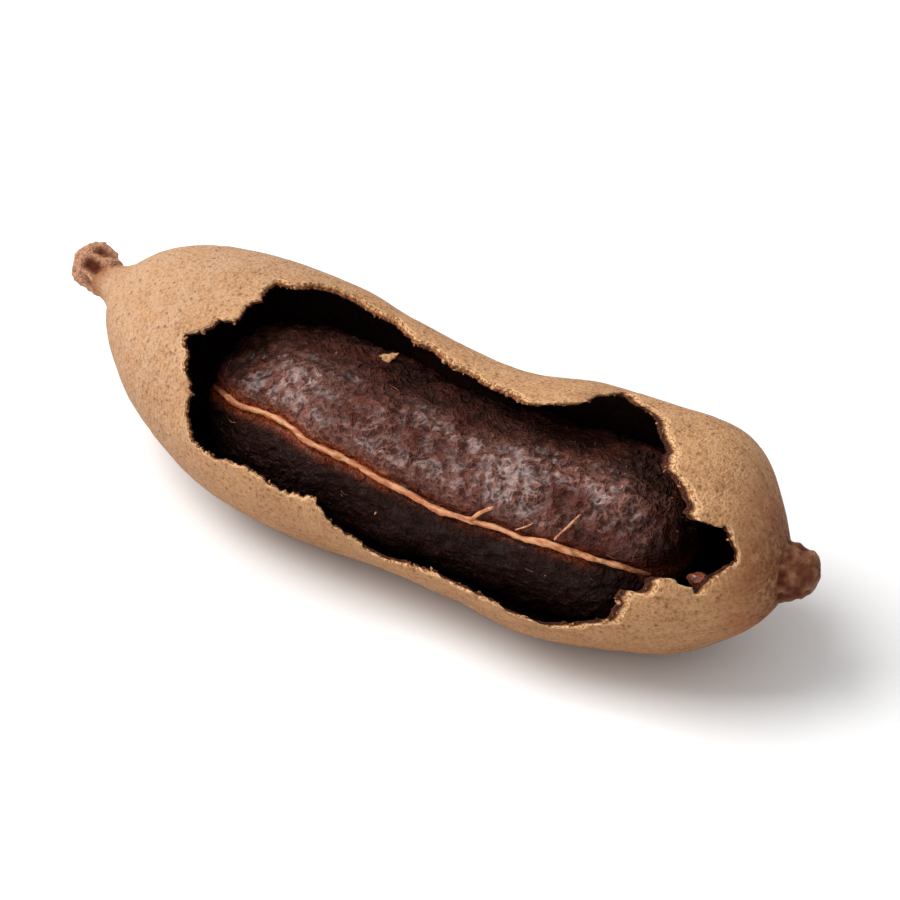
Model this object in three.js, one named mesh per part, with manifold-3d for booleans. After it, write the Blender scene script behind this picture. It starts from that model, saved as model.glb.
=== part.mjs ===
// A ripe tamarind pod lying on its side, with its brittle shell broken open along one flank.
// Millimetres, +Z up. The pod lies along X: -X is the stalk end and +X the tip end.
// The opening looks towards -Y and up. The pod's ends bow gently towards +Y.
//
// Pod coordinates are used throughout: s runs along the pod's curved middle line,
// and an angle goes round it, 0 degrees facing -Y, 90 degrees facing up, 180 degrees facing +Y.
import * as THREE from "three";
import { mergeVertices } from "three/addons/utils/BufferGeometryUtils.js";
import Module from "manifold-3d";

const wasm = await Module();
wasm.setup();
const { clamp, degToRad, lerp } = THREE.MathUtils;

// ---- driving dimensions ----
const BOW_RADIUS = 125; // radius of the arc that the pod's middle line follows
const BOW_MIDDLE = -5.5; // s at which that arc runs straight along X
const FLATTEN = 0.93; // height of a cross-section over its width
const WALL = 1.2; // thickness of the brittle shell
const MIDDLE_HEIGHT = 13; // height of the middle line between the two swellings
const RISE_FROM = 15; // towards each end the middle line rises from this far off s = 0
const STALK_RISE = { height: 1.2, over: 35 }; // and has risen this high after this length
const TIP_RISE = { height: 1.6, over: 26 };
const STALK_NECK = { from: -36, over: 15, sideways: -2.6, up: -1.5 }; // the neck turns aside and down
const TIP_NECK = { from: 34, over: 7, sideways: -1.8, up: -1.5 }; // and so does the point of the tip
const REST_CUT = 0.15; // height of the flats under the two swellings that the pod rests on
const GAP = 0.3; // clearance between pieces that touch
const PULP_DROP = 1.15; // the dried pulp has sunk this far below the middle line
const STRAND_RADIUS = 0.55;
const FIBRE_RADIUS = 0.3;

// Outer shell: s along the pod against radius. Two swellings with a waist between them.
const SHELL_PROFILE = [
  [-51.2, 2.1], [-48.8, 2.9], [-46.0, 4.7], [-42.3, 7.8], [-36.3, 10.7], [-28.3, 13.0],
  [-19.3, 14.1], [-10.3, 13.8], [-1.3, 13.1], [7.7, 13.1], [16.7, 14.3], [27.7, 13.5],
  [32.8, 12.4], [36.7, 9.9], [39.4, 6.4], [41.0, 3.3],
];
// Dried pulp: one slug that has shrunk away from the shell, rounded at both ends.
const PULP_PROFILE = [
  [-28.5, 2.4], [-26.6, 6.0], [-23, 8.7], [-16, 10.1], [-8, 10.2], [0, 9.9],
  [8, 9.7], [16, 10.4], [24, 10.0], [28.6, 8.2], [30.6, 5.4], [31.4, 2.2],
];
// Broken edge of the shell: s against angle, on the flank that faces -Y and on the far side.
const NEAR_EDGE = [
  [-26.6, 42], [-24, 31], [-22, 18], [-20, 2], [-14, 3], [-8, 0], [-4, -8], [1, -24], [6, -20],
  [12, -15], [20, -19], [26, -14], [28.5, 0], [30, 9], [33, 14], [35.5, 11], [37.6, 22],
];
const FAR_EDGE = [
  [-26.6, 47], [-24, 62], [-23, 88], [-19.5, 104], [-15, 117], [-9, 116], [-2, 107], [6, 97],
  [12, 91], [16, 95], [19.5, 118], [22.5, 114], [28, 92], [29.6, 74], [33, 54], [36.5, 46], [37.6, 32],
];
// Route of the main strand over the pulp: s against angle.
const STRAND_ROUTE = [
  [-25, 25], [-20.8, 27.5], [-16, 31.5], [-12.8, 32], [-9, 30], [-4.3, 28], [0, 25], [4.5, 23],
  [8, 21.5], [13, 22.5], [16, 21], [19.5, 21.5], [23, 19], [26.7, 17.5], [29, 12],
];
const FORK_ROUTE = [[10.4, 22], [10.9, 26], [11.6, 31], [12.6, 36]];
const FIBRE_ROUTE = [[19.8, 26.5], [20.1, 30], [20.8, 37], [21.5, 46]];
// Stubs beyond the two ends of the shell: distance from the shell's end against radius.
const STALK_STUB = [[-4.5, 1.3], [-4.1, 2.1], [-2.9, 2.55], [-1.3, 2.35], [0, 2.2]];
const TIP_STUB = [[0, 2.9], [1.2, 2.75], [2.6, 2.5], [3.6, 2.2], [4.0, 1.5]];
const STALK_RIDGES = 7;
const TIP_RIDGES = 6;
// Loose chip of shell on the pulp: its outline, and where it lies.
const CHIP_OUTLINE = [[-1.2, -0.5], [0.2, -0.8], [1.3, -0.2], [0.7, 0.6], [-0.6, 0.7]];
const CHIP_THICKNESS = 0.45;
const CHIP_AT = { s: -9.2, angle: 113, lift: 0.9, tilt: 24 };
// Crumb of pulp in the notch by the tip: half its length, width and height, and where it lies.
const CRUMB_SIZE = [1.4, 0.9, 1.1];
const CRUMB_AT = { s: 34.5, angle: 2, radius: 8.2 };
// The cutter for the opening reaches between these radii, through the wall and clear of it.
const CUTTER = { inner: 4, outer: 19 };
const LEAST_INSIDE = 1.5; // the inside of the shell closes where its radius falls below this
const LUMPS_HEIGHT = 0.4; // clearance kept over the lumps of the pulp by the strands

// ---- pod coordinates ----
// How far the middle line has left a plain arc at s.
function middleShift(s) {
  const rise = s < 0 ? STALK_RISE : TIP_RISE;
  const neck = s < 0 ? STALK_NECK : TIP_NECK;
  const risen = Math.max(0, Math.abs(s) - RISE_FROM) / rise.over;
  const turned = clamp(((s - neck.from) * Math.sign(s)) / neck.over, 0, 1);
  return {
    sideways: neck.sideways * turned ** 2,
    up: rise.height * risen ** 2 + neck.up * turned ** 2,
  };
}

// The point at s, with a sideways and an upward distance from the middle line.
function podPoint(s, sideways, up) {
  const turn = (s - BOW_MIDDLE) / BOW_RADIUS;
  const shift = middleShift(s);
  const inwards = BOW_RADIUS - sideways - shift.sideways;
  return new THREE.Vector3(
    BOW_MIDDLE + inwards * Math.sin(turn),
    BOW_RADIUS - inwards * Math.cos(turn),
    MIDDLE_HEIGHT + shift.up + up,
  );
}

// The point at s, at an angle round the pod and at a radius from a middle line lowered by drop.
function aroundPod(s, degrees, radius, drop = 0) {
  const a = degToRad(degrees);
  return podPoint(s, -radius * Math.cos(a), FLATTEN * radius * Math.sin(a) - drop);
}

// Smooth curve through a profile, as a function from s to the other value.
function valueAlong(profile) {
  const points = new THREE.SplineCurve(profile.map(([s, v]) => new THREE.Vector2(s, v))).getPoints(240);
  return (s) => {
    const next = points.findIndex((p) => p.x >= s);
    if (next < 1) return next === 0 ? points[0].y : points.at(-1).y;
    const [a, b] = [points[next - 1], points[next]];
    return lerp(a.y, b.y, (s - a.x) / (b.x - a.x));
  };
}
// Straight lines between the points instead, for a broken edge.
const brokenAlong = (edge) => (s) => {
  const next = Math.max(1, edge.findIndex(([x], i) => x >= s || i === edge.length - 1));
  const [[s0, v0], [s1, v1]] = [edge[next - 1], edge[next]];
  return lerp(v0, v1, clamp((s - s0) / (s1 - s0), 0, 1));
};
const pulpRadius = valueAlong(PULP_PROFILE);

// ---- solids ----
// A geometry with only its positions, its seam closed.
function closed(geometry) {
  geometry.deleteAttribute("normal");
  geometry.deleteAttribute("uv");
  return mergeVertices(geometry, 1e-4);
}

function solid(geometry) {
  const g = closed(geometry);
  const vertProperties = new Float32Array(g.attributes.position.array);
  const triVerts = new Uint32Array(g.index.array);
  return new wasm.Manifold(new wasm.Mesh({ numProp: 3, vertProperties, triVerts }));
}

function geometryOf(manifold) {
  const mesh = manifold.getMesh();
  const g = new THREE.BufferGeometry();
  g.setAttribute("position", new THREE.BufferAttribute(new Float32Array(mesh.vertProperties), 3));
  g.setIndex(new THREE.BufferAttribute(new Uint32Array(mesh.triVerts), 1));
  g.computeVertexNormals();
  return g;
}

// Moves every vertex of a geometry by place(vertex), which returns the new vertex.
function reshape(geometry, place) {
  const position = geometry.attributes.position;
  const v = new THREE.Vector3();
  for (let i = 0; i < position.count; i++) {
    const moved = place(v.fromBufferAttribute(position, i));
    position.setXYZ(i, moved.x, moved.y, moved.z);
  }
  return geometry;
}

// A turned shape laid along the pod. The profile's [s, radius] points are joined by a smooth curve.
function turned(profile, steps, sides, shape = (s, angle, radius) => aroundPod(s, angle, radius)) {
  const curve = new THREE.SplineCurve(profile.map(([s, r]) => new THREE.Vector2(s, r)));
  const ring = curve.getPoints(steps).map((p) => new THREE.Vector2(Math.max(p.y, 0.05), p.x));
  const outline = [new THREE.Vector2(0, ring[0].y), ...ring, new THREE.Vector2(0, ring.at(-1).y)];
  const lathe = new THREE.LatheGeometry(outline, sides);
  return reshape(lathe, (v) => {
    const radius = Math.hypot(v.x, v.z);
    const angle = THREE.MathUtils.radToDeg(Math.atan2(v.x, -v.z));
    return shape(v.y, radius < 1e-6 ? 0 : angle, radius);
  });
}

// The shell's profile moved inwards by the wall, kept where there is still room inside.
function insideOf(profile, wall) {
  const curve = new THREE.SplineCurve(profile.map(([s, r]) => new THREE.Vector2(s, r)));
  const count = 30;
  const inner = [];
  for (let i = 0; i <= count; i++) {
    const p = curve.getPoint(i / count);
    const t = curve.getTangent(i / count);
    const moved = [p.x + t.y * wall, p.y - t.x * wall];
    const last = inner.at(-1);
    if (moved[1] > LEAST_INSIDE && (!last || moved[0] > last[0] + 0.4)) inner.push(moved);
  }
  return inner;
}

// The wedge taken out of the shell, from its near edge round to its far edge.
function openingWedge() {
  const near = brokenAlong(NEAR_EDGE);
  const far = brokenAlong(FAR_EDGE);
  const [start, end] = [NEAR_EDGE[0][0], NEAR_EDGE.at(-1)[0]];
  const box = new THREE.BoxGeometry(1, 1, 1, 48, 8, 1);
  return reshape(box, (v) => {
    const s = lerp(start, end, v.x + 0.5);
    const angle = lerp(near(s), far(s), v.y + 0.5);
    return aroundPod(s, angle, v.z > 0 ? CUTTER.outer : CUTTER.inner);
  });
}

function shellSolid() {
  const outside = solid(turned(SHELL_PROFILE, 34, 38));
  const inside = solid(turned(insideOf(SHELL_PROFILE, WALL), 28, 30));
  const under = new THREE.BoxGeometry(120, 60, 10).translate(0, 0, REST_CUT - 5);
  return outside.subtract(inside).subtract(solid(openingWedge())).subtract(solid(under));
}

// The pulp's surface is gently lumpy where it shrank round the hard parts within.
function lumpyPulp(s, angle, radius) {
  const a = degToRad(angle);
  const lumps = 0.22 * Math.sin(0.62 * s + 2 * Math.sin(a)) + 0.14 * Math.cos(3 * a - 0.35 * s);
  const edge = Math.min(1, radius / 6);
  return aroundPod(s, angle, radius + lumps * edge, PULP_DROP);
}

// A tube along a route over the pulp, held clear of it by the gap.
function tubeOver(route, thickness, steps) {
  const path = route.map(([s, angle]) => {
    const clear = pulpRadius(s) + LUMPS_HEIGHT + GAP + thickness;
    return aroundPod(s, angle, clear, PULP_DROP);
  });
  const section = new THREE.Shape();
  section.absarc(0, 0, thickness, 0, 2 * Math.PI, false);
  return new THREE.ExtrudeGeometry(section, {
    steps,
    curveSegments: 4,
    extrudePath: new THREE.CatmullRomCurve3(path),
  });
}

// A short woody stub beyond one end of the shell, ridged along its length.
function stub(profile, ridges) {
  return turned(profile, 9, 20, (s, angle, radius) => {
    const ridge = 1 + 0.06 * Math.cos(ridges * degToRad(angle));
    return aroundPod(s, angle, radius * ridge);
  });
}

// A little lump whose middle lies at a place in pod coordinates.
function lump(size, place) {
  const ball = new THREE.IcosahedronGeometry(1, 2).scale(...size);
  return ball.translate(place.x, place.y, place.z);
}

// A flat chip of shell, lying on the pulp.
function chip(outline, thickness, place, tilt) {
  const shape = new THREE.Shape(outline.map(([x, y]) => new THREE.Vector2(x, y)));
  const g = new THREE.ExtrudeGeometry(shape, { depth: thickness, bevelEnabled: false });
  return g.rotateX(degToRad(tilt)).translate(place.x, place.y, place.z);
}

// ---- materials ----
const shellSkin = new THREE.MeshStandardMaterial({ color: 0xb58a5f, roughness: 0.8, metalness: 0 });
const darkPulp = new THREE.MeshStandardMaterial({ color: 0x4a2a22, roughness: 0.4, metalness: 0 });
const darkWood = new THREE.MeshStandardMaterial({ color: 0x73513a, roughness: 0.85, metalness: 0 });
const paleFibre = new THREE.MeshStandardMaterial({ color: 0xb07a4e, roughness: 0.6, metalness: 0 });

// ---- the pod ----
const laid = new THREE.Group();

function piece(name, geometry, material) {
  const mesh = new THREE.Mesh(geometry, material);
  mesh.name = name;
  laid.add(mesh);
  return mesh;
}

piece("shell", geometryOf(shellSolid()), shellSkin);
piece("pulp", closed(turned(PULP_PROFILE, 28, 28, lumpyPulp)), darkPulp);

const stalkEnd = SHELL_PROFILE[0][0] - GAP;
const stalkProfile = STALK_STUB.map(([s, r]) => [stalkEnd + s, r]);
piece("stalk_stub", closed(stub(stalkProfile, STALK_RIDGES)), darkWood);

const tipEnd = SHELL_PROFILE.at(-1)[0] + GAP;
const tipProfile = TIP_STUB.map(([s, r]) => [tipEnd + s, r]);
piece("tip_stub", closed(stub(tipProfile, TIP_RIDGES)), darkWood);

const strand = solid(tubeOver(STRAND_ROUTE, STRAND_RADIUS, 36));
const fork = solid(tubeOver(FORK_ROUTE, 0.8 * STRAND_RADIUS, 6));
piece("main_strand", geometryOf(strand.add(fork)), paleFibre);
piece("fine_strand", closed(tubeOver(FIBRE_ROUTE, FIBRE_RADIUS, 8)), paleFibre);

const chipRadius = pulpRadius(CHIP_AT.s) + CHIP_AT.lift;
const chipPlace = aroundPod(CHIP_AT.s, CHIP_AT.angle, chipRadius, PULP_DROP);
piece("shell_flake", closed(chip(CHIP_OUTLINE, CHIP_THICKNESS, chipPlace, CHIP_AT.tilt)), shellSkin);

const crumbPlace = aroundPod(CRUMB_AT.s, CRUMB_AT.angle, CRUMB_AT.radius);
piece("pulp_crumb", closed(lump(CRUMB_SIZE, crumbPlace)), darkPulp);

// The origin is under the middle of the pod's box, on the surface it lies on.
const box = new THREE.Box3().setFromObject(laid, true);
const middle = box.getCenter(new THREE.Vector3());
laid.position.set(-middle.x, -middle.y, -box.min.z);

const pod = new THREE.Group();
pod.name = "tamarind_pod";
pod.add(laid);

export default pod;
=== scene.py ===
import itertools
import math

import bpy
import numpy as np
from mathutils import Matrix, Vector, geometry, kdtree, noise


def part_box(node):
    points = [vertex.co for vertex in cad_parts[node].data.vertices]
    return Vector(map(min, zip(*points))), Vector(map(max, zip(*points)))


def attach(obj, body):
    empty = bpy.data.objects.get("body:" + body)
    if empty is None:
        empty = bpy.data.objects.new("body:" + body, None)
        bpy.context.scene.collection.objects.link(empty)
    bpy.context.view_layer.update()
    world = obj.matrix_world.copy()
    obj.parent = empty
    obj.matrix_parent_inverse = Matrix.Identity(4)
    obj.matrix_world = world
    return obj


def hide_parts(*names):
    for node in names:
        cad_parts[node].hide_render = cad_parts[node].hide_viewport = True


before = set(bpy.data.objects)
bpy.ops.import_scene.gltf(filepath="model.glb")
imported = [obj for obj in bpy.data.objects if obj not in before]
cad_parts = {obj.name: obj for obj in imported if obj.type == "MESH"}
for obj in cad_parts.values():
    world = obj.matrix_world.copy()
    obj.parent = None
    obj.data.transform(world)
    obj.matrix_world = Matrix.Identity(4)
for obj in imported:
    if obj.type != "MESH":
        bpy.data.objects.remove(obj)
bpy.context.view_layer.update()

# ---- shell ----
# The pod's shell is a dry, brittle bark about a millimetre thick, tan and finely pitted outside
# and dark red-brown inside, with painted shade that darkens the inside deeper in the hollow. It
# has been cracked open along one flank, and the broken edge is jagged, crumbly and pale. It is one
# skin with its thickness, cut along the line of the break.
MM = 0.001

BOW_RADIUS = 125.0
BOW_MIDDLE = -5.5
FLATTEN = 0.93
MIDDLE_HEIGHT = 13.0
REST_CUT = 0.15
RISE_FROM = 15.0
STALK_RISE, STALK_RISE_OVER = 1.2, 35.0
TIP_RISE, TIP_RISE_OVER = 1.6, 26.0
STALK_NECK_FROM, STALK_NECK_OVER, STALK_NECK_SIDEWAYS, STALK_NECK_UP = -36.0, 15.0, -2.6, -1.5
TIP_NECK_FROM, TIP_NECK_OVER, TIP_NECK_SIDEWAYS, TIP_NECK_UP = 34.0, 7.0, -1.8, -1.5

# s along the pod's middle line against radius, in millimetres, as in the CAD model
SHELL_PROFILE = [
    (-51.2, 2.1), (-48.8, 2.9), (-46.0, 4.7), (-42.3, 7.8), (-36.3, 10.7), (-28.3, 13.0),
    (-19.3, 14.1), (-10.3, 13.8), (-1.3, 13.1), (7.7, 13.1), (16.7, 14.3), (27.7, 13.5),
    (32.8, 12.4), (36.7, 9.9), (39.4, 6.4), (41.0, 3.3),
]
# The broken edge, s against angle round the pod: 0 degrees faces -Y and 90 degrees faces up.
NEAR_BREAK = [
    (-26.8, 44), (-24.4, 38), (-24.2, 31), (-22.4, 25), (-21.8, 14), (-20.2, 3), (-17, 2),
    (-13.4, 4), (-10.9, 1), (-8.2, -1), (-5.2, 1), (-3.9, -9), (-2, -15), (1.5, -24), (5.8, -20),
    (8.8, -16), (13.2, -15), (15.8, -15), (17.2, -18), (21, -20), (23.9, -18), (25.6, -14),
    (27.5, -9), (28.7, 1), (29.2, 8), (30.4, 8), (31.2, 10), (31.6, 15), (32.6, 16.5), (33.8, 14),
    (34.6, 9), (35.3, 9), (35.8, 13), (36.9, 22), (37.7, 28),
]
FAR_BREAK = [
    (-26.8, 46), (-24.8, 51), (-24.2, 60), (-22, 63), (-22.6, 74), (-22, 80), (-23.4, 88),
    (-23.7, 95), (-20.8, 99), (-19.8, 108), (-17.4, 114), (-15.8, 117), (-11.5, 116), (-9.3, 115),
    (-6.9, 111), (-4.2, 106), (-2.3, 107), (0.4, 102), (2.8, 99), (5.3, 98), (7.7, 95), (10.3, 92),
    (13.2, 87), (15.1, 89), (16.9, 92), (17.9, 99), (18.8, 108), (19.6, 120), (20.6, 119),
    (22.4, 112), (25.5, 105), (27.3, 94), (28.4, 90), (29.4, 82), (29.6, 73), (31.2, 68),
    (32.5, 61), (33.4, 55), (33.2, 50), (34.2, 47), (35.2, 47), (36.1, 49), (37.1, 45),
    (37.8, 37), (37.9, 30),
]
WALL = 1.05
# A round figure for the shell's radius, where degrees are turned into millimetres
MEAN_RADIUS = 13.0
# The hollow inside reaches from end to end like this, and narrows outside of the second pair.
HOLLOW_ENDS = (-46.6, 39.7)
HOLLOW_FULL = (-42.0, 38.4)
# In rows, how far the even grid of the skin stays from the break
CLEAR_OF_BREAK = 0.42
SKIN_SPACING = 0.46
SKIN_COLUMNS = 200
BREAK_SPACING = 0.2
BREAK_LAYERS = 5


def through(points, t):
    """Points at t = 0 to 1 on the smooth curve through a row of points."""
    p = np.asarray(points, float)
    last = len(p) - 1
    place = np.clip(np.asarray(t, float) * last, 0, last - 1e-9)
    i = place.astype(int)
    w = (place - i)[:, None]
    before, start = p[np.maximum(i - 1, 0)], p[i]
    end, after = p[i + 1], p[np.minimum(i + 2, last)]
    lean_in, lean_out = (end - before) / 2, (after - start) / 2
    cubic = 2 * start - 2 * end + lean_in + lean_out
    square = 3 * end - 3 * start - 2 * lean_in - lean_out
    return cubic * w**3 + square * w**2 + lean_in * w + start


def unit(values):
    """Values limited to the range from 0 to 1."""
    return np.clip(values, 0, 1)


def middle_shift(s):
    """How far the pod's middle line has left a plain arc at s: sideways and up."""
    off = np.maximum(0, np.abs(s) - RISE_FROM)
    stalk = unit((STALK_NECK_FROM - s) / STALK_NECK_OVER) ** 2
    tip = unit((s - TIP_NECK_FROM) / TIP_NECK_OVER) ** 2
    rise = np.where(
        s < 0,
        STALK_RISE * (off / STALK_RISE_OVER) ** 2,
        TIP_RISE * (off / TIP_RISE_OVER) ** 2,
    )
    sideways = STALK_NECK_SIDEWAYS * stalk + TIP_NECK_SIDEWAYS * tip
    return sideways, rise + STALK_NECK_UP * stalk + TIP_NECK_UP * tip


def around_pod(s, angle, radius, drop=0.0):
    """Points at s, an angle in degrees and a radius, in millimetres, before the pod is set down."""
    s, angle, radius = np.broadcast_arrays(
        np.asarray(s, float), np.asarray(angle, float), np.asarray(radius, float)
    )
    a = np.radians(angle)
    turn = (s - BOW_MIDDLE) / BOW_RADIUS
    sideways, up = middle_shift(s)
    inwards = BOW_RADIUS - sideways + radius * np.cos(a)
    x = BOW_MIDDLE + inwards * np.sin(turn)
    y = BOW_RADIUS - inwards * np.cos(turn)
    z = MIDDLE_HEIGHT + up + FLATTEN * radius * np.sin(a) - drop
    return np.stack([x, y, z], axis=-1)


def stations(profile, spacing):
    """Rows evenly spaced along a closed profile, from pole to pole: distance, s and radius."""
    curve = through(profile, np.linspace(0, 1, 3000))
    line = np.vstack([[profile[0][0], 0.0], curve, [profile[-1][0], 0.0]])
    run = np.r_[0, np.cumsum(np.hypot(*np.diff(line, axis=0).T))]
    even = np.linspace(0, run[-1], round(run[-1] / spacing) + 1)
    return even, np.interp(even, run, line[:, 0]), np.interp(even, run, line[:, 1])


def speckle(points, size, seed):
    """Smooth random values from -1 to 1 at points, changing over about the given size."""
    q = np.asarray(points, float) / size
    cell = np.floor(q).astype(np.int64)
    f = q - cell
    f = f * f * f * (f * (f * 6 - 15) + 10)
    total = np.zeros(len(q))
    for corner in itertools.product((0, 1), repeat=3):
        c = cell + corner
        h = c[:, 0] * 73856093 ^ c[:, 1] * 19349663 ^ c[:, 2] * 83492791 ^ (seed * 40503)
        h = (h ^ (h >> 13)) * 1274126177 & 0xFFFFFFFF
        value = ((h ^ (h >> 16)) & 0xFFFF) / 32767.5 - 1
        total += value * np.prod(np.where(corner, f, 1 - f), axis=1)
    return total


def rough(points, size, seed, octaves=3):
    """Random values at several sizes, each half the size and half the height of the last."""
    return sum(speckle(points, size / 2**k, seed + k) / 2**k for k in range(octaves))


def along_line(distance, size, seed):
    """Random values from -1 to 1 along a line."""
    flat = np.zeros((len(distance), 3))
    flat[:, 0] = distance
    return speckle(flat, size, seed)


def grid_faces(rows, columns, skip=lambda i, j: False):
    """Faces over rings of vertices between two poles, and the function that numbers them."""
    last = 1 + (rows - 2) * columns

    def at(i, j):
        if i == 0:
            return 0
        return last if i == rows - 1 else 1 + (i - 1) * columns + j % columns

    faces = []
    for i in range(rows - 1):
        for j in range(columns):
            if skip(i, j):
                continue
            ring = [at(i, j), at(i + 1, j), at(i + 1, j + 1), at(i, j + 1)]
            if i == 0:
                ring = ring[:3]
            elif i == rows - 2:
                ring = [ring[0], ring[1], ring[3]]
            faces.append(ring)
    return faces, at


def add_object(name, data):
    thing = bpy.data.objects.new(name, data)
    bpy.context.scene.collection.objects.link(thing)
    return thing


def store(mesh, label, values):
    """Stores a number or a vector at each vertex of a mesh."""
    values = np.asarray(values, np.float32)
    form, key = ("FLOAT_VECTOR", "vector") if values.ndim == 2 else ("FLOAT", "value")
    mesh.attributes.new(label, form, "POINT").data.foreach_set(key, values.ravel())


def make_piece(name, points_mm, faces, material, attributes):
    """A mesh object from points in millimetres, set down in the frame, with smooth faces."""
    mesh = bpy.data.meshes.new(name)
    mesh.from_pydata((np.asarray(points_mm) * MM + set_down).tolist(), [], faces)
    for label, values in attributes.items():
        store(mesh, label, values)
    mesh.polygons.foreach_set("use_smooth", np.ones(len(mesh.polygons), bool))
    mesh.materials.append(material)
    mesh.update()
    return add_object(name, mesh)


class Wire:
    """A socket of a node tree. Arithmetic on it adds Math nodes."""

    def __init__(self, tree, socket):
        self.tree = tree
        self.socket = socket

    def math(self, operation, *others):
        inputs = dict(enumerate((self,) + others))
        return self.tree.add("ShaderNodeMath", {"operation": operation}, inputs)["Value"]

    def __add__(self, other):
        return self.math("ADD", other)

    __radd__ = __add__

    def __mul__(self, other):
        return self.math("MULTIPLY", other)

    __rmul__ = __mul__

    def __sub__(self, other):
        return self.math("SUBTRACT", other)

    def __rsub__(self, other):
        return (self * -1.0).math("ADD", other)

    def ramp(self, low, high, start=0.0, end=1.0):
        """Rises smoothly from start to end as the value goes from low to high."""
        settings = {"interpolation_type": "SMOOTHSTEP"}
        inputs = {"Value": self, "From Min": low, "From Max": high, "To Min": start, "To Max": end}
        return self.tree.add("ShaderNodeMapRange", settings, inputs)["Result"]


def find_socket(sockets, name):
    """The enabled socket with a name or identifier, or the socket with a number."""
    if isinstance(name, int):
        return sockets[name]
    return next(s for s in sockets if name in (s.name, s.identifier) and s.enabled)


class Added:
    """A node just added, whose outputs are read by name."""

    def __init__(self, tree, node):
        self.tree = tree
        self.node = node

    def __getitem__(self, name):
        return Wire(self.tree, find_socket(self.node.outputs, name))


class Tree:
    """A node tree, with one method that adds any node."""

    def __init__(self, nodes_of):
        self.tree = nodes_of
        self.tree.nodes.clear()

    def add(self, kind, settings=None, inputs=None):
        node = self.tree.nodes.new(kind)
        for key, value in (settings or {}).items():
            setattr(node, key, value)
        for key, value in (inputs or {}).items():
            socket = find_socket(node.inputs, key)
            if isinstance(value, Wire):
                self.tree.links.new(value.socket, socket)
            else:
                socket.default_value = value
        return Added(self, node)


def srgb(red, green, blue):
    """A colour given as it looks on a screen, 0 to 255, as linear light."""
    def linear(c):
        c /= 255
        return c / 12.92 if c <= 0.04045 else ((c + 0.055) / 1.055) ** 2.4
    return linear(red), linear(green), linear(blue)


class Finish(Tree):
    """A material, with the few patterns that the pod's materials share."""

    def __init__(self, name):
        self.material = bpy.data.materials.new(name)
        self.material.use_nodes = True
        super().__init__(self.material.node_tree)
        where = self.add("ShaderNodeTexCoord")["Object"]
        self.place = self.stretch(where, (1 / MM, 1 / MM, 1 / MM))

    def stretch(self, vector, scale):
        settings = {"operation": "MULTIPLY"}
        return self.add("ShaderNodeVectorMath", settings, {0: vector, 1: scale})["Vector"]

    def attribute(self, name, output="Fac"):
        return self.add("ShaderNodeAttribute", {"attribute_name": name})[output]

    def grain(self, size, detail=2.0, where=None, warp=0.0):
        """Noise from about 0.2 to 0.8 that changes over the given size in millimetres."""
        inputs = {"Vector": where or self.place, "Scale": 1 / size, "Detail": detail}
        inputs["Distortion"] = warp
        return self.add("ShaderNodeTexNoise", {}, inputs)["Fac"]

    def cells(self, size, output="Distance"):
        inputs = {"Vector": self.place, "Scale": 1 / size}
        return self.add("ShaderNodeTexVoronoi", {}, inputs)[output]

    def blend(self, share, first, second):
        """Colour that goes from the first to the second as share goes from 0 to 1."""
        colours = []
        for colour in (first, second):
            colours.append(colour if isinstance(colour, Wire) else (*colour, 1.0))
        inputs = {"Factor_Float": share, "A_Color": colours[0], "B_Color": colours[1]}
        return self.add("ShaderNodeMix", {"data_type": "RGBA"}, inputs)["Result_Color"]

    def bumps(self, height_mm):
        inputs = {"Height": height_mm, "Distance": MM, "Strength": 1.0}
        return self.add("ShaderNodeBump", {}, inputs)["Normal"]

    def surface(self, inputs):
        shader = self.add("ShaderNodeBsdfPrincipled", {}, inputs)["BSDF"]
        self.add("ShaderNodeOutputMaterial", {}, {"Surface": shader})
        return self.material


class Growth(Tree):
    """A tree of geometry nodes with named numbers, run once over a mesh to make a new piece."""

    def __init__(self, name, **numbers):
        group = bpy.data.node_groups.new(name, "GeometryNodeTree")
        sockets = group.interface
        sockets.new_socket("Geometry", in_out="INPUT", socket_type="NodeSocketGeometry")
        self.numbers = {}
        for label, value in numbers.items():
            kind = "NodeSocketInt" if isinstance(value, int) else "NodeSocketFloat"
            socket = sockets.new_socket(label, in_out="INPUT", socket_type=kind)
            self.numbers[socket.identifier] = value
        sockets.new_socket("Geometry", in_out="OUTPUT", socket_type="NodeSocketGeometry")
        super().__init__(group)
        self.given = self.add("NodeGroupInput")

    def named(self, attribute):
        settings = {"data_type": "FLOAT"}
        return self.add("GeometryNodeInputNamedAttribute", settings, {"Name": attribute})["Attribute"]

    def random(self, low, high, seed):
        kind = "FLOAT_VECTOR" if isinstance(low, tuple) else "FLOAT"
        inputs = {"Min": low, "Max": high, "Seed": seed}
        return self.add("FunctionNodeRandomValue", {"data_type": kind}, inputs)["Value"]

    def grow(self, name, mesh, geometry, material):
        """The piece that comes out when the tree runs over the mesh."""
        real = self.add("GeometryNodeRealizeInstances", {}, {"Geometry": geometry})["Geometry"]
        inputs = {"Geometry": real, "Material": material}
        done = self.add("GeometryNodeSetMaterial", {}, inputs)["Geometry"]
        self.add("NodeGroupOutput", {}, {"Geometry": done})
        source = add_object(name + "_source", mesh)
        modifier = source.modifiers.new("growth", "NODES")
        modifier.node_group = self.tree
        for identifier, value in self.numbers.items():
            modifier[identifier] = value
        shown = bpy.context.evaluated_depsgraph_get()
        grown = bpy.data.meshes.new_from_object(
            source.evaluated_get(shown), preserve_all_data_layers=True, depsgraph=shown
        )
        source.modifiers.remove(modifier)
        bpy.data.objects.remove(source)
        return add_object(name, grown)


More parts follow.
